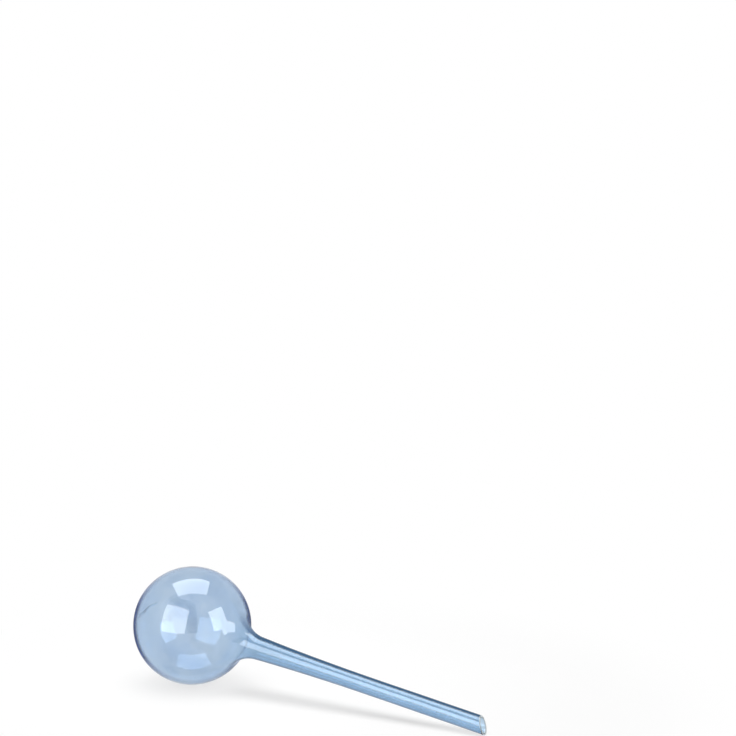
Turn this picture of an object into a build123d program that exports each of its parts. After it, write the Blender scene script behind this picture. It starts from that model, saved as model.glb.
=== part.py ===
"""Watering globe: a blown hollow ball whose neck runs out into a long stem with a slanted open tip.

The globe lies as it does on a table, on the ball and on the long side of its tip. Millimetres, +Z up.
The stem points along +X and dips to the floor. The origin is the middle of the floor under the whole globe.
"""

from build123d import *
import os
from math import asin, atan2, cos, hypot, radians, sin, tan

os.makedirs("parts", exist_ok=True)

# Ball
ball_diameter = 80.0
ball_wall = 1.0

# Neck, from the ball to the weld that joins it to the stem
neck_length = 20.0
neck_diameter = 15.2
flare_radius = 25.0

# Stem, from the weld to the long side of its slanted tip
taper_length = 85.0
straight_length = 86.0
stem_diameter = 11.5
stem_wall = 1.5
tip_slant_degrees = 28.0
rim_round = 0.35

# The globe lies rolled: the long side of the tip is turned this far from straight down, towards -Y
roll_degrees = 27.0

# Lap weld: a spigot on the stem sits in a socket in the neck
lap_length = 6.0
lap_gap = 0.05
lap_end_gap = 0.1

# Cuts run past what they cut by this much
overrun = 5.0

# Places along the axis, counted from the centre of the ball
ball_radius = ball_diameter / 2
neck_radius = neck_diameter / 2
stem_radius = stem_diameter / 2
weld_station = ball_radius + neck_length
straight_station = weld_station + taper_length
tip_station = straight_station + straight_length

# The taper is one long arc that ends in line with the straight stem
taper_drop = neck_radius - stem_radius
taper_radius = (taper_length**2 + taper_drop**2) / (2 * taper_drop)

# Socket and spigot share the wall of the neck
socket_radius = neck_radius - stem_wall / 2
spigot_radius = socket_radius - lap_gap

# The slanted cut crosses the axis here
tip_slant = radians(tip_slant_degrees)
roll = radians(roll_degrees)
cut_station = tip_station - stem_radius * tan(tip_slant)

# The rim's small round under the stem has its centre here, along the axis and below it
rim_depth = stem_radius - rim_round
rim_start = cut_station - rim_round / cos(tip_slant)
rim_station = rim_start + rim_depth * tan(tip_slant) * cos(roll)

# The axis dips until that round and the ball both touch the floor
dip = asin((ball_radius - rim_round) / hypot(rim_station, rim_depth)) - atan2(rim_depth, rim_station)
stem_direction = Vector(cos(dip), 0, -sin(dip))

# The furthest point of the tip, level with the floor, and with it the middle of the whole globe
forward_slant = tan(tip_slant) * cos(roll) * cos(dip) - sin(dip)
sideways_slant = tan(tip_slant) * sin(roll) * cos(dip)
tip_reach = rim_start * cos(dip) + rim_depth * hypot(forward_slant, sideways_slant) + rim_round
ball_centre = Vector((ball_radius - tip_reach) / 2, 0, ball_radius)

# Sketch plane through the axis: its x runs down the stem, its y away from the axis
side_plane = Plane(ball_centre, x_dir=stem_direction, z_dir=(0, -1, 0))
stem_axis = Axis(ball_centre, stem_direction)


def cross_plane(station, facing=stem_direction):
    """Plane through the axis at a station, square to it unless it faces elsewhere."""
    return Plane(ball_centre + stem_direction * station, z_dir=facing)


def taper_point(station, inset):
    """Point of the taper arc at a station, set in towards the axis."""
    angle = asin((straight_station - station) / taper_radius)
    radius = taper_radius + inset
    return (straight_station - radius * sin(angle), stem_radius + taper_radius - radius * cos(angle))


def half_outline(ball_inset, stem_inset, end):
    """Half of the globe's outline, above its axis, set in by one amount on the ball and one on the stem."""
    with BuildSketch(side_plane) as half:
        with BuildLine():
            ball = CenterArc((0, 0), ball_radius - ball_inset, 0, 180)
            Line(ball @ 0, ball @ 1)
        make_face()
        with BuildLine():
            taper_stations = (0, weld_station, straight_station)
            taper = ThreePointArc(*(taper_point(station, stem_inset) for station in taper_stations))
            Polyline(taper @ 1, (end, stem_radius - stem_inset), (end, 0), (0, 0), taper @ 0)
        make_face()
        ball_meets_taper = half.vertices().sort_by(Axis.Y)[-1]
        fillet(ball_meets_taper, flare_radius + stem_inset)
    return half.sketch


outside = half_outline(0, 0, tip_station)
hollow = half_outline(ball_wall, stem_wall, tip_station + overrun)
weld_plane = cross_plane(weld_station)

# Ball with its flared neck, which ends in the socket
with BuildPart() as bulb:
    revolve(outside, axis=stem_axis)
    revolve(hollow, axis=stem_axis, mode=Mode.SUBTRACT)
    split(bisect_by=weld_plane, keep=Keep.BOTTOM)
    with BuildSketch(weld_plane):
        Circle(socket_radius)
    extrude(amount=-lap_length, mode=Mode.SUBTRACT)
bulb.part.label = "bulb"

# The spigot stops short of the socket's end, and the cut at the tip leans back and is rolled with the globe
spigot_plane = cross_plane(weld_station - lap_length + lap_end_gap)
leaning = stem_direction.rotate(Axis.Y, -tip_slant_degrees)
tip_plane = cross_plane(cut_station, leaning.rotate(Axis((0, 0, 0), stem_direction), -roll_degrees))

# Stem with its spigot at the top and its slanted mouth at the tip
with BuildPart() as stem:
    revolve(outside, axis=stem_axis)
    revolve(hollow, axis=stem_axis, mode=Mode.SUBTRACT)
    split(bisect_by=spigot_plane, keep=Keep.TOP)
    with BuildSketch(weld_plane):
        Circle(ball_radius)
        Circle(spigot_radius, mode=Mode.SUBTRACT)
    extrude(amount=-lap_length, mode=Mode.SUBTRACT)
    split(bisect_by=tip_plane, keep=Keep.BOTTOM)
    rim = stem.faces().sort_by(stem_axis)[-1]
    fillet(rim.edges(), rim_round)
stem.part.label = "stem"

for piece in (bulb, stem):
    export_step(piece.part, f"parts/{piece.part.label}.step")
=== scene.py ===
"""Looks of the watering globe: a lying hollow ball with a long stem, blown from clear blue plastic."""

from math import asin, atan2, cos, hypot, pi, radians, sin, sqrt, tan

import bmesh
import bpy
from mathutils import Matrix, Vector, noise
from mathutils.geometry import intersect_sphere_sphere_2d


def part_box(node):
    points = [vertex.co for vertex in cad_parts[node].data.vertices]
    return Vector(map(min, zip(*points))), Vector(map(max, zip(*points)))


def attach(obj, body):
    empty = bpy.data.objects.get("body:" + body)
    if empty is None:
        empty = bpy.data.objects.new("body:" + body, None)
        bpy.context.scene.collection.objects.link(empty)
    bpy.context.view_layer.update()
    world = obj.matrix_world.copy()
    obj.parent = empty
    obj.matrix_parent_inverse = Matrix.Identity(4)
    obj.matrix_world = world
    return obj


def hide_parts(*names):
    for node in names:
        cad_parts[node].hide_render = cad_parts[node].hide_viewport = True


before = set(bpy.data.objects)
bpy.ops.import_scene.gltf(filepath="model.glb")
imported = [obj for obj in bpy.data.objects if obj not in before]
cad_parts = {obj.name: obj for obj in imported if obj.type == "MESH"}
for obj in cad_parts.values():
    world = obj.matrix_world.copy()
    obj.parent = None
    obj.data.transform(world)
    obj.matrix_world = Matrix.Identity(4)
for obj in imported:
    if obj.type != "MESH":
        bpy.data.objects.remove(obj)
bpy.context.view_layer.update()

MM = 0.001

# Sizes of the globe, as the solids have them
BALL_WALL = 1.0 * MM
NECK_LENGTH = 20.0 * MM
NECK_RADIUS = 7.6 * MM
FLARE_RADIUS = 25.0 * MM
TAPER_LENGTH = 85.0 * MM
STRAIGHT_LENGTH = 86.0 * MM
STEM_RADIUS = 5.75 * MM
STEM_WALL = 1.5 * MM
TIP_SLANT = radians(28.0)
RIM_ROUND = 0.35 * MM
ROLL = radians(27.0)

# The skin and the cut of the tip are drawn this far inside the solids, and the two pieces stand this far
# apart at the weld
SKIN_INSET = 0.06 * MM
CUT_INSET = 0.12 * MM
WELD_GAP = 0.02 * MM

bulb_low, bulb_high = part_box("bulb")
BALL_RADIUS = (bulb_high[2] - bulb_low[2]) / 2
BALL_CENTRE = Vector((bulb_low[0] + BALL_RADIUS, 0, bulb_low[2] + BALL_RADIUS))

# Stations are distances along the axis from the centre of the ball
WELD_STATION = BALL_RADIUS + NECK_LENGTH
STRAIGHT_STATION = WELD_STATION + TAPER_LENGTH
TIP_STATION = STRAIGHT_STATION + STRAIGHT_LENGTH
CUT_STATION = TIP_STATION - STEM_RADIUS * tan(TIP_SLANT)


def axis_dip():
    """Angle by which the stem dips, so that the ball and the round under the tip both touch the floor."""
    depth = STEM_RADIUS - RIM_ROUND
    station = CUT_STATION - RIM_ROUND / cos(TIP_SLANT) + depth * tan(TIP_SLANT) * cos(ROLL)
    return asin((BALL_RADIUS - RIM_ROUND) / hypot(station, depth)) - atan2(depth, station)


DIP = axis_dip()
ALONG = Vector((cos(DIP), 0, -sin(DIP)))
UNDER = Vector((-sin(DIP), 0, -cos(DIP)))
TOWARDS_VIEW = Vector((0, -1, 0))


def place(station, radius, turn):
    """Point of the globe at a station along the axis, a radius from it and a turn from straight below it."""
    return BALL_CENTRE + ALONG * station + (UNDER * cos(turn) + TOWARDS_VIEW * sin(turn)) * radius


def taper_arc(inset):
    """Centre and radius of the long arc that the stem's outline follows, set in towards the axis."""
    drop = NECK_RADIUS - STEM_RADIUS
    radius = (TAPER_LENGTH**2 + drop**2) / (2 * drop)
    return Vector((STRAIGHT_STATION, STEM_RADIUS + radius)), radius + inset


def stem_skin_radius(station, inset):
    """Radius of the stem's skin at a station."""
    if station >= STRAIGHT_STATION:
        return STEM_RADIUS - inset
    centre, radius = taper_arc(inset)
    return centre.y - sqrt(radius**2 - (station - centre.x)**2)


# Steps round the ball, along its outline and along its flare, and the length of a step in the neck
AROUND_BALL = 192
BALL_STEPS = 180
FLARE_STEPS = 48
NECK_STEP = 2.0 * MM


def bulb_outline(ball_inset, neck_inset, end):
    """Outline of one skin from the far side of the ball to a station, as pairs of station and radius."""
    ball = BALL_RADIUS - ball_inset
    flare = FLARE_RADIUS + neck_inset
    taper_centre, taper = taper_arc(neck_inset)
    meets = intersect_sphere_sphere_2d(Vector((0, 0)), ball + flare, taper_centre, taper - flare)
    flare_centre = min(meets, key=lambda point: point.y)
    leaves_ball = atan2(flare_centre.y, flare_centre.x)
    joins = (taper_centre - flare_centre).normalized()
    points = []
    for step in range(BALL_STEPS + 1):
        angle = pi + (leaves_ball - pi) * step / BALL_STEPS
        points.append((ball * cos(angle), ball * sin(angle)))
    first = leaves_ball + pi
    last = atan2(-joins.y, -joins.x) % (2 * pi)
    for step in range(1, FLARE_STEPS + 1):
        angle = first + (last - first) * step / FLARE_STEPS
        points.append((flare_centre.x + flare * cos(angle), flare_centre.y + flare * sin(angle)))
    start = points[-1][0]
    steps = max(1, round((end - start) / NECK_STEP))
    for step in range(1, steps + 1):
        station = start + (end - start) * step / steps
        points.append((station, stem_skin_radius(station, neck_inset)))
    return points


# The blown wall sinks in unevenly, by up to this much over patches of this size, which two layers of noise
# make up. The inner wall has patches of its own.
SINK = 0.06 * MM
SINK_SIZE = 24.0 * MM
SINK_LAYERS = 2
LAYER_FADING = 1.0
LAYER_FINENESS = 2.0
OUTER_SEED = 3.0
INNER_SEED = 11.0


def blown(point, amount, seed):
    """How far the blown wall sinks in at a point, as the plastic never stretches evenly."""
    shifted = point / SINK_SIZE + Vector((seed, seed, seed))
    value = noise.fractal(shifted, LAYER_FADING, LAYER_FINENESS, SINK_LAYERS)
    return amount * (0.5 + 0.5 * max(-1.0, min(1.0, value)))


# Values that the faces carry, so that the material tells the surfaces apart
MARK_LAYER = "mark"
OUTER_MARK = 0.0
INNER_MARK = 0.3
CUT_MARK = 0.6
WELD_MARK = 0.9
MARK_MARGIN = 0.1


def new_mesh():
    """Empty mesh with the layer for the marks."""
    mesh = bmesh.new()
    mesh.faces.layers.float.new(MARK_LAYER)
    return mesh


def ring_about_axis(mesh, around, station_at, radius, amount, seed):
    """Ring of vertices about the axis, whose station may change with the turn."""
    ring = []
    for step in range(around):
        turn = 2 * pi * step / around
        station = station_at(turn)
        point = place(station, radius, turn)
        inward = (BALL_CENTRE + ALONG * max(station, 0) - point).normalized()
        ring.append(mesh.verts.new(point + inward * blown(point, amount, seed)))
    return ring


def level_ring(mesh, around, station, radius, amount, seed):
    """Ring square to the axis."""
    return ring_about_axis(mesh, around, lambda turn: station, radius, amount, seed)


def close_rings(mesh, rings, mark):
    """Faces between each ring and the next, marked with a value that the material reads."""
    layer = mesh.faces.layers.float[MARK_LAYER]
    for ring, following in zip(rings, rings[1:]):
        for step in range(len(ring)):
            after = (step + 1) % len(ring)
            face = mesh.faces.new((ring[step], following[step], following[after], ring[after]))
            face[layer] = mark


def close_weld(mesh, outer, inner):
    """Flat ring of faces that ends a piece at the weld. It has sharp edges and is marked as not there."""
    close_rings(mesh, [outer, inner], WELD_MARK)
    for ring in (outer, inner):
        for step in range(len(ring)):
            mesh.edges.get((ring[step], ring[(step + 1) % len(ring)])).smooth = False


def cap_ring(mesh, ring, point, mark):
    """Fan of faces from a ring to one point."""
    layer = mesh.faces.layers.float[MARK_LAYER]
    middle = mesh.verts.new(point)
    for step in range(len(ring)):
        face = mesh.faces.new((ring[step], ring[(step + 1) % len(ring)], middle))
        face[layer] = mark


def finished_piece(mesh, name, material):
    """Object made from the mesh, smooth and facing outwards."""
    bmesh.ops.recalc_face_normals(mesh, faces=mesh.faces)
    data = bpy.data.meshes.new(name)
    mesh.to_mesh(data)
    mesh.free()
    data.polygons.foreach_set("use_smooth", [True] * len(data.polygons))
    piece = bpy.data.objects.new(name, data)
    bpy.context.scene.collection.objects.link(piece)
    data.materials.append(material)
    return piece


def make_bulb(material):
    """The ball and its neck as a closed thin wall that ends at the weld."""
    mesh = new_mesh()
    end = WELD_STATION - WELD_GAP / 2
    ends = []
    for ball_inset, neck_inset, sink, seed, mark in ((SKIN_INSET, SKIN_INSET, SINK, OUTER_SEED, OUTER_MARK),
                                                     (BALL_WALL, STEM_WALL, -SINK, INNER_SEED, INNER_MARK)):
        outline = bulb_outline(ball_inset, neck_inset, end)[1:]
        rings = [level_ring(mesh, AROUND_BALL, station, radius, sink, seed) for station, radius in outline]
        close_rings(mesh, rings, mark)
        cap_ring(mesh, rings[0], place(ball_inset - BALL_RADIUS, 0, 0), mark)
        ends.append(rings[-1])
    close_weld(mesh, *ends)
    return finished_piece(mesh, "bulb_shell", material)


# The rings of the stem are square to the axis up to this far from the tip, and then turn into its slant
SLANT_LENGTH = 24.0 * MM
AROUND_STEM = 96
LEVEL_STEPS = 64
SLANT_STEPS = 16
RIM_STEPS = 12


def slant_end(radius, turn, back):
    """Station of the slanted cut at a radius and turn, set back along the axis."""
    return CUT_STATION + radius * tan(TIP_SLANT) * cos(turn - ROLL) - CUT_INSET - back


def stem_wall_rings(mesh, inset, sink, seed):
    """Rings of one skin of the stem, level from the weld and then turning into the slant of the tip."""
    start = WELD_STATION + WELD_GAP / 2
    slant_from = TIP_STATION - SLANT_LENGTH
    rings = []
    for step in range(LEVEL_STEPS + 1):
        station = start + (slant_from - start) * step / LEVEL_STEPS
        rings.append(level_ring(mesh, AROUND_STEM, station, stem_skin_radius(station, inset), sink, seed))
    radius = STEM_RADIUS - inset
    for step in range(1, SLANT_STEPS + 1):
        share = step / SLANT_STEPS
        rings.append(ring_about_axis(
            mesh, AROUND_STEM,
            lambda turn: slant_from + (slant_end(radius, turn, RIM_ROUND) - slant_from) * share,
            radius, sink, seed))
    return rings


def rim_rings(mesh):
    """Rings across the cut end of the wall, with both of its edges rounded."""
    wall = STEM_WALL - SKIN_INSET
    rings = []
    for step in range(1, RIM_STEPS):
        across = wall * step / RIM_STEPS
        edge = min(across, wall - across, RIM_ROUND)
        back = RIM_ROUND - sqrt(max(0.0, RIM_ROUND**2 - (RIM_ROUND - edge)**2))
        radius = STEM_RADIUS - SKIN_INSET - across
        rings.append(ring_about_axis(mesh, AROUND_STEM, lambda turn: slant_end(radius, turn, back), radius,
                                     0.0, OUTER_SEED))
    return rings


def make_stem(material):
    """The stem from the weld to its slanted rim, as a closed thick wall."""
    mesh = new_mesh()
    outer = stem_wall_rings(mesh, SKIN_INSET, SINK, OUTER_SEED)
    inner = stem_wall_rings(mesh, STEM_WALL, -SINK, INNER_SEED)
    close_rings(mesh, outer, OUTER_MARK)
    close_rings(mesh, inner, INNER_MARK)
    close_rings(mesh, [outer[-1]] + rim_rings(mesh) + [inner[-1]], CUT_MARK)
    close_weld(mesh, outer[0], inner[0])
    return finished_piece(mesh, "stem_tube", material)


# Mix nodes for numbers and for colours: their kind, the sockets of the share and of both values, and the
# socket of the result
MIX_NUMBERS = ("FLOAT", (0, 2, 3), 0)
MIX_COLOURS = ("RGBA", (0, 6, 7), 2)


class Wiring:
    """Adds nodes to one node tree and links them."""

    def __init__(self, tree):
        tree.nodes.clear()
        self.nodes = tree.nodes
        self.links = tree.links

    def plug(self, socket, value):
        """Links a socket to another, or sets it to a plain value."""
        if isinstance(value, bpy.types.NodeSocket):
            self.links.new(value, socket)
        else:
            socket.default_value = value

    def add(self, kind, values):
        """New node with its named inputs linked or set."""
        node = self.nodes.new("ShaderNode" + kind)
        for name, value in values.items():
            self.plug(node.inputs[name], value)
        return node

    def work_out(self, kind, operation, values):
        """Outputs of a new node that works on numbers or on vectors."""
        node = self.nodes.new("ShaderNode" + kind)
        node.operation = operation
        for socket, value in zip(node.inputs, values):
            self.plug(socket, value)
        return node.outputs

    def math(self, operation, *values):
        """Result of a sum, product or comparison."""
        return self.work_out("Math", operation, values)[0]

    def vector(self, operation, *values):
        """Vector result of a sum or product of vectors."""
        return self.work_out("VectorMath", operation, values)["Vector"]

    def measure(self, operation, *values):
        """Length of a vector, or how far one reaches in the direction of another."""
        return self.work_out("VectorMath", operation, values)["Value"]

    def ramp(self, value, low, high, at_low, at_high):
        """Value carried smoothly from one range to another."""
        node = self.nodes.new("ShaderNodeMapRange")
        node.interpolation_type = "SMOOTHSTEP"
        for name, given in (("Value", value), ("From Min", low), ("From Max", high), ("To Min", at_low),
                            ("To Max", at_high)):
            self.plug(node.inputs[name], given)
        return node.outputs["Result"]

    def mix(self, data_type, sockets, result, values):
        """Result of a new Mix node."""
        node = self.nodes.new("ShaderNodeMix")
        node.data_type = data_type
        for index, value in zip(sockets, values):
            self.plug(node.inputs[index], value)
        return node.outputs[result]

    def blend(self, share, first, second):
        """Number between two, by a share."""
        return self.mix(*MIX_NUMBERS, (share, first, second))

    def blend_colours(self, share, first, second):
        """Colour between two, by a share."""
        return self.mix(*MIX_COLOURS, (share, first, second))

    def blend_shaders(self, share, first, second):
        """Shader between two, by a share."""
        node = self.nodes.new("ShaderNodeMixShader")
        for index, value in enumerate((share, first, second)):
            self.plug(node.inputs[index], value)
        return node.outputs[0]


WHITE = (1, 1, 1, 1)

# A ray's depths are whole numbers, so below this is no bounce of that kind and above it one or more
NONE_OR_ONE = 0.5

# Blend at which the facing of a Layer Weight node is plain: 0 where the skin is seen squarely, 1 edge on
PLAIN_FACING = 0.5

# Plastic: its refractive index, how clear and how rough it is at most, and the dye in its wall
PLASTIC_IOR = 1.53
PLASTIC_CLEARNESS = 0.985
PLASTIC_ROUGHEST = 0.05
DYE_COLOUR = (0.304, 0.571, 0.773, 1)
DYE_DENSITY = 560.0

# Between these stations the looks of the ball turn into those of the stem
TINT_TURNS = (24.0 * MM, 58.0 * MM)

# Deepest and lightest tint of the ball and of the stem, and the soft patches that they make
BALL_TINTS = ((0.845, 0.875, 0.945, 1), (0.985, 0.975, 0.985, 1))
STEM_TINTS = ((0.905, 0.925, 0.95, 1), (0.96, 0.97, 0.985, 1))
PATCH_SCALE = 48.0
PATCH_DETAIL = 3.0
PATCH_TURNS = (0.3, 0.7)

# Painted shade on the upper side of the stem: its deeper tint, and how far upwards the skin faces where it
# sets in
STEM_TOP_SHADE_TINT = (0.72, 0.82, 0.88, 1)
STEM_TOP_UPRIGHT = (0.30, 0.60)

# The cut face of the tip is dull by this share
CUT_COLOUR = (0.84, 0.94, 0.98, 1)
CUT_DULLNESS = 0.85

# Painted shade: a dark line where the outer skin is seen edge on, weaker where the ball faces up or down
PAINTED_RIM_SHADE = (0.035, 0.065, 0.24, 1)
STEM_PAINTED_RIM_SHADE = (0.030, 0.085, 0.165, 1)
RIM_FACING = (0.58, 0.77)
RIM_UPRIGHT = (0.3, 0.95)
RIM_AT_SIDES = 0.85
RIM_AT_TOP = 0.10
RIM_ON_STEM = 0.75

# Painted shade: a wider dark line along the top of the stem
STEM_TOP_SHADE_LINE = 0.85
STEM_TOP_LINE_UPRIGHT = (0.2, 0.6)
STEM_TOP_FACING = (0.27, 0.47)

# Fine lines drawn out along the stem: their depth, and how often they change along and across it per metre
STREAK_DEPTH = 0.03 * MM
STREAK_SCALE = (12.0, 300.0, 300.0)
STREAK_DETAIL = 2.0

# Pinched-off seam on the far side of the ball: a sloping, wavering groove that fades towards both its ends
SEAM_TINT = (0.76, 0.84, 0.94, 1)
SEAM_DEPTH = 0.25 * MM
SEAM_HALF_WIDTH = 1.0 * MM
SEAM_HALF_LENGTH = 13.0 * MM
SEAM_FADES_FROM = 0.7 * SEAM_HALF_LENGTH
SEAM_SLOPE = 0.3
SEAM_WAVER = 0.5 * MM
SEAM_WAVES = 500.0

# Share of the light that each surface lets through to the floor: the ball where it faces the lamp squarely,
# the ball nearer its edge, the stem, and the stem's tip, which sets in between these stations
BALL_SHADOW = 0.83
BALL_EDGE_SHADOW = 1.0
BALL_EDGE_FACING = (0.0, 0.28)
STEM_SHADOW = 0.64
TIP_SHADOW = 0.86
TIP_SHADOW_TURNS = (150.0 * MM, 215.0 * MM)


def seam_share(net, station, sideways, upwards):
    """Share of the seam at a point given along the axis, to the side of it and above it."""
    waver = net.math("MULTIPLY", net.math("SINE", net.math("MULTIPLY", sideways, SEAM_WAVES)), SEAM_WAVER)
    off_seam = net.math("SUBTRACT", upwards, net.math("MULTIPLY_ADD", sideways, SEAM_SLOPE, waver))
    groove = net.ramp(net.math("ABSOLUTE", off_seam), 0.0, SEAM_HALF_WIDTH, 1.0, 0.0)
    lengthways = net.ramp(net.math("ABSOLUTE", sideways), SEAM_FADES_FROM, SEAM_HALF_LENGTH, 1.0, 0.0)
    on_far_side = net.math("LESS_THAN", station, 0.0)
    return net.math("MULTIPLY", net.math("MULTIPLY", groove, lengthways), on_far_side)


def painted_dark_line_share(net, edge_on, upright, on_stem, outer):
    """Share of the painted shade lines at the edges and along the top of the stem, by how far the skin is
    seen edge on and faces up.
    """
    on_ball = net.ramp(net.math("ABSOLUTE", upright), *RIM_UPRIGHT, RIM_AT_SIDES, RIM_AT_TOP)
    strength = net.math("MULTIPLY", net.blend(on_stem, on_ball, RIM_ON_STEM), outer)
    rim = net.ramp(edge_on, *RIM_FACING, 0.0, strength)
    on_top = net.math("MULTIPLY", net.math("MULTIPLY", on_stem, outer),
                      net.ramp(upright, *STEM_TOP_LINE_UPRIGHT, 0.0, STEM_TOP_SHADE_LINE))
    return net.math("MAXIMUM", rim, net.ramp(edge_on, *STEM_TOP_FACING, 0.0, on_top))


def clear_blue_plastic():
    """Clear blue plastic: the colour is in the wall, so it deepens where more wall is seen, with painted
    shade as dark lines at its edges and along the top of the stem.
    """
    material = bpy.data.materials.new("clear_blue_plastic")
    material.use_nodes = True
    net = Wiring(material.node_tree)

    # Where a point lies along the globe, and which surface it is on
    coordinates = net.add("TexCoord", {}).outputs
    position = coordinates["Object"]
    turned = net.add("Mapping", {"Vector": position, "Location": BALL_CENTRE, "Rotation": (0, DIP, 0)})
    turned.vector_type = "TEXTURE"
    lengthwise = turned.outputs["Vector"]
    station, sideways, upwards = net.add("SeparateXYZ", {"Vector": lengthwise}).outputs
    on_stem = net.ramp(station, *TINT_TURNS, 0.0, 1.0)
    upright = net.add("SeparateXYZ", {"Vector": coordinates["Normal"]}).outputs["Z"]
    edge_on = net.add("LayerWeight", {"Blend": PLAIN_FACING}).outputs["Facing"]
    mark = net.nodes.new("ShaderNodeAttribute")
    mark.attribute_name = MARK_LAYER
    outer, cut, weld = [net.math("COMPARE", mark.outputs["Fac"], value, MARK_MARGIN)
                        for value in (OUTER_MARK, CUT_MARK, WELD_MARK)]

    # Tint and polish in soft patches, with painted shade as a deeper tint on the upper side of the stem, and
    # a deeper tint in the seam
    clouds = net.add("TexNoise", {"Vector": position, "Scale": PATCH_SCALE, "Detail": PATCH_DETAIL})
    cloud = clouds.outputs["Fac"]
    patch = net.ramp(cloud, *PATCH_TURNS, 0.0, 1.0)
    polish = net.ramp(cloud, 0.0, 1.0, 0.0, PLASTIC_ROUGHEST)
    tint = net.blend_colours(on_stem, net.blend_colours(patch, *BALL_TINTS),
                             net.blend_colours(patch, *STEM_TINTS))
    top_shade_share = net.math("MULTIPLY", on_stem, net.ramp(upright, *STEM_TOP_UPRIGHT, 0.0, 1.0))
    tint = net.blend_colours(net.math("MULTIPLY", top_shade_share, outer), tint, STEM_TOP_SHADE_TINT)
    seam = seam_share(net, station, sideways, upwards)
    tint = net.blend_colours(seam, tint, SEAM_TINT)

    # Relief of the fine lines and of the seam
    stretched = net.vector("MULTIPLY", lengthwise, STREAK_SCALE)
    drawn = net.add("TexNoise", {"Vector": stretched, "Scale": 1.0, "Detail": STREAK_DETAIL})
    streaks = net.math("MULTIPLY", drawn.outputs["Fac"], net.math("MULTIPLY", on_stem, STREAK_DEPTH))
    height = net.math("SUBTRACT", streaks, net.math("MULTIPLY", seam, SEAM_DEPTH))
    relief = net.add("Bump", {"Strength": 1.0, "Distance": 1.0, "Height": height}).outputs["Normal"]

    # The skin, with its dark line of painted shade, the dull cut face and the way left open at the weld
    skin = net.add("BsdfPrincipled", {
        "Base Color": tint, "IOR": PLASTIC_IOR, "Normal": relief, "Roughness": polish,
        "Transmission Weight": PLASTIC_CLEARNESS}).outputs["BSDF"]
    shade_line_colour = net.blend_colours(on_stem, PAINTED_RIM_SHADE, STEM_PAINTED_RIM_SHADE)
    dark_line = net.add("BsdfDiffuse", {"Color": shade_line_colour}).outputs["BSDF"]
    skin = net.blend_shaders(painted_dark_line_share(net, edge_on, upright, on_stem, outer), skin, dark_line)
    cut_face = net.add("BsdfDiffuse", {"Color": CUT_COLOUR}).outputs["BSDF"]
    skin = net.blend_shaders(net.math("MULTIPLY", cut, CUT_DULLNESS), skin, cut_face)
    open_way = net.add("BsdfTransparent", {}).outputs["BSDF"]
    skin = net.blend_shaders(weld, skin, open_way)

    # What the light to the floor passes: a stated share at each surface, and no dye
    shade = net.blend(on_stem, net.ramp(edge_on, *BALL_EDGE_FACING, BALL_SHADOW, BALL_EDGE_SHADOW),
                      net.ramp(station, *TIP_SHADOW_TURNS, STEM_SHADOW, TIP_SHADOW))
    let_through = net.add("BsdfTransparent", {"Color": shade}).outputs["BSDF"]
    shadow_ray = net.add("LightPath", {}).outputs["Is Shadow Ray"]
    dye = net.add("VolumeAbsorption", {"Color": DYE_COLOUR, "Density": DYE_DENSITY}).outputs["Volume"]
    no_dye = net.add("VolumeAbsorption", {"Color": WHITE, "Density": 0.0}).outputs["Volume"]
    net.add("OutputMaterial", {"Surface": net.blend_shaders(shadow_ray, skin, let_through),
                               "Volume": net.blend_shaders(shadow_ray, dye, no_dye)})
    return material


# Where the photograph was taken from, and its focal length and width in pixels
CAMERA_PLACE = Vector((0.9191, -1.4233, 0.5054))
CAMERA_HEADING = radians(31.535)
CAMERA_DOWN = radians(9.41)
FOCAL_PIXELS = 2653.0
PHOTO_PIXELS = 736
SENSOR = 36.0

AHEAD = Vector((-sin(CAMERA_HEADING), cos(CAMERA_HEADING), 0))
UP = Vector((0, 0, 1))


def towards(bearing, elevation):
    """Direction at a bearing from the camera's side, to the left of it, and an elevation above the floor."""
    return Matrix.Rotation(CAMERA_HEADING - bearing, 3, "Z") @ Vector((0, -cos(elevation), sin(elevation)))


def make_camera():
    """Camera at the photograph's place."""
    data = bpy.data.cameras.new("camera")
    data.sensor_width = SENSOR
    data.lens = FOCAL_PIXELS / PHOTO_PIXELS * SENSOR
    camera = bpy.data.objects.new("camera", data)
    bpy.context.scene.collection.objects.link(camera)
    camera.location = CAMERA_PLACE
    camera.rotation_euler = (pi / 2 - CAMERA_DOWN, 0, CAMERA_HEADING)
    bpy.context.scene.camera = camera


TABLE_HALF_WIDTH = 6.0
TABLE_PAINT = (0.98, 0.98, 0.98, 1)

# The table shows this share of plain white near the globe, and all of it from the second distance on
TABLE_WHITE_NEAR = 0.60
TABLE_WHITE_TURNS = (0.16, 0.29)


def white_table_material():
    """Pale table that shows as white, yet keeps a faint shadow round the globe."""
    material = bpy.data.materials.new("white_table")
    material.use_nodes = True
    net = Wiring(material.node_tree)
    rays = net.add("LightPath", {}).outputs
    distance = net.measure("LENGTH", net.add("TexCoord", {}).outputs["Object"])
    near = net.ramp(distance, *TABLE_WHITE_TURNS, TABLE_WHITE_NEAR, 1.0)
    seen = net.math("MULTIPLY", near, net.math("MAXIMUM", rays["Is Camera Ray"], rays["Is Glossy Ray"]))
    not_lighting = net.math("LESS_THAN", rays["Diffuse Depth"], NONE_OR_ONE)
    seen_through = net.math("MULTIPLY", rays["Is Transmission Ray"], not_lighting)
    paint = net.add("BsdfDiffuse", {"Color": TABLE_PAINT}).outputs["BSDF"]
    white = net.add("Emission", {"Color": WHITE, "Strength": 1.0}).outputs["Emission"]
    surface = net.blend_shaders(net.math("MAXIMUM", seen, seen_through), paint, white)
    net.add("OutputMaterial", {"Surface": surface})
    return material


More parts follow.
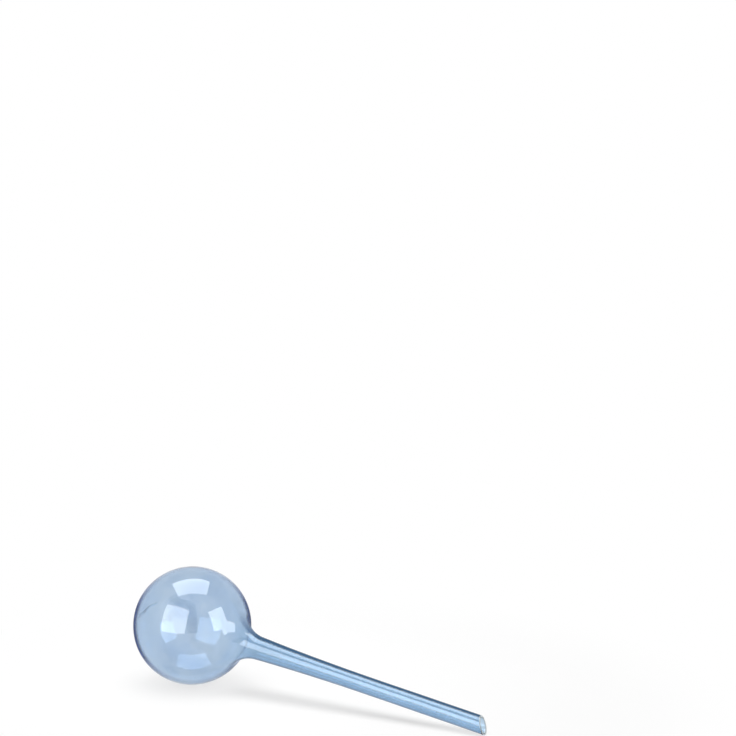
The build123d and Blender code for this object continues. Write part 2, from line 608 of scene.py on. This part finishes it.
def make_table():
    """White table top that runs on past what the camera sees."""
    half = TABLE_HALF_WIDTH
    data = bpy.data.meshes.new("table_top")
    data.from_pydata([(-half, -half, 0), (half, -half, 0), (half, half, 0), (-half, half, 0)], [],
                     [(0, 1, 2, 3)])
    table = bpy.data.objects.new("table_top", data)
    bpy.context.scene.collection.objects.link(table)
    data.materials.append(white_table_material())


# Levels of the room: what the plastic mirrors, its dark parts, and what lights the globe
ROOM_MIRRORED = 0.95
ROOM_DARK = 0.0
ROOM_FILL = 0.10

# A dark sector of the room by its bearing, up to a height, and a dark shelf by its bearing and height. Both
# set in between two cosines of the bearing off their middle, and heights are how far a direction reaches up.
DARK_SECTOR = radians(-3.0)
DARK_SECTOR_COS = (0.975, 0.992)
DARK_SECTOR_UP = (0.80, 0.88)
DARK_SHELF = radians(42.0)
DARK_SHELF_COS = (0.72, 0.84)
DARK_SHELF_UP = 0.83
DARK_SHELF_HALF_HEIGHT = 0.065

# The backdrop seen through the plastic fades upwards to this level. It gives way to the room on the camera's
# side, by how far a direction reaches ahead.
BACKDROP_UP = (0.35, 0.75)
BACKDROP_OVERHEAD = 0.25
CAMERA_SIDE_AHEAD = (-0.3, 0.1)


def light_world():
    """White surroundings for the camera, a backdrop behind the plastic, a room to mirror and a dim fill."""
    world = bpy.data.worlds.new("studio")
    bpy.context.scene.world = world
    world.use_nodes = True
    net = Wiring(world.node_tree)
    direction = net.add("TexCoord", {}).outputs["Generated"]
    rays = net.add("LightPath", {}).outputs
    up = net.measure("DOT_PRODUCT", direction, UP)
    level_direction = net.vector("NORMALIZE", net.vector("MULTIPLY", direction, (1, 1, 0)))
    to_sector = net.measure("DOT_PRODUCT", level_direction, towards(DARK_SECTOR, 0.0))
    sector = net.math("MULTIPLY", net.ramp(to_sector, *DARK_SECTOR_COS, 0.0, 1.0),
                      net.ramp(up, *DARK_SECTOR_UP, 1.0, 0.0))
    to_shelf = net.measure("DOT_PRODUCT", level_direction, towards(DARK_SHELF, 0.0))
    shelf = net.math("MULTIPLY", net.ramp(to_shelf, *DARK_SHELF_COS, 0.0, 1.0),
                     net.math("COMPARE", up, DARK_SHELF_UP, DARK_SHELF_HALF_HEIGHT))
    room = net.blend(net.math("MAXIMUM", sector, shelf), ROOM_MIRRORED, ROOM_DARK)
    backdrop = net.ramp(up, *BACKDROP_UP, 1.0, BACKDROP_OVERHEAD)
    camera_side = net.ramp(net.measure("DOT_PRODUCT", direction, AHEAD), *CAMERA_SIDE_AHEAD, 1.0, 0.0)
    level = net.blend(rays["Is Glossy Ray"], ROOM_FILL, room)
    level = net.blend(rays["Is Transmission Ray"], level, net.blend(camera_side, backdrop, room))
    lighting = net.math("GREATER_THAN", rays["Diffuse Depth"], NONE_OR_ONE)
    level = net.blend(lighting, level, ROOM_FILL)
    level = net.blend(rays["Is Camera Ray"], level, 1.0)
    sky = net.add("Background", {"Color": WHITE, "Strength": level})
    net.add("OutputWorld", {"Surface": sky.outputs["Background"]})


def softbox(name, bearing, elevation, distance, width, height, radiance):
    """Softbox that faces the ball, at a bearing from the camera's side and an elevation above the floor."""
    direction = towards(bearing, elevation)
    light = bpy.data.lights.new(name, "AREA")
    light.shape = "RECTANGLE"
    light.size = width
    light.size_y = height
    light.energy = radiance * pi * width * height
    lamp = bpy.data.objects.new(name, light)
    bpy.context.scene.collection.objects.link(lamp)
    lamp.location = BALL_CENTRE + direction * distance
    lamp.rotation_euler = direction.to_track_quat("Z", "Y").to_euler()
    lamp.visible_camera = False
    return lamp


def only_mirrored(lamp):
    """Lamp that the plastic mirrors, and that lights nothing else and isn't seen through the plastic."""
    lamp.visible_diffuse = False
    lamp.data.use_nodes = True
    net = Wiring(lamp.data.node_tree)
    rays = net.add("LightPath", {}).outputs
    mirrored = net.math("GREATER_THAN", rays["Glossy Depth"], NONE_OR_ONE)
    not_lighting = net.math("LESS_THAN", rays["Diffuse Depth"], NONE_OR_ONE)
    glow = net.add("Emission", {"Strength": net.math("MULTIPLY", mirrored, not_lighting)})
    net.add("OutputLight", {"Surface": glow.outputs["Emission"]})


def make_lights():
    """A softbox above and two windows that the plastic mirrors, and a lamp that lights the table."""
    only_mirrored(softbox("top_softbox", bearing=radians(-7.1), elevation=radians(97.5), distance=0.9,
                          width=0.82, height=0.63, radiance=3.8))
    only_mirrored(softbox("left_window", bearing=radians(34.3), elevation=radians(20.8), distance=1.2,
                          width=1.12, height=1.20, radiance=3.8))
    only_mirrored(softbox("right_window", bearing=radians(-60.0), elevation=radians(18.6), distance=1.2,
                          width=0.68, height=0.80, radiance=4.5))
    overhead = softbox("overhead_lamp", bearing=0.0, elevation=radians(90.0), distance=0.9,
                       width=0.70, height=0.70, radiance=6.4)
    overhead.visible_glossy = False
    overhead.visible_transmission = False


make_camera()
make_table()
light_world()
make_lights()
bpy.context.scene.view_settings.view_transform = "Standard"

plastic = clear_blue_plastic()
bulb = make_bulb(plastic)
stem = make_stem(plastic)
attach(bulb, "root")
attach(stem, "root")
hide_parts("bulb")
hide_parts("stem")
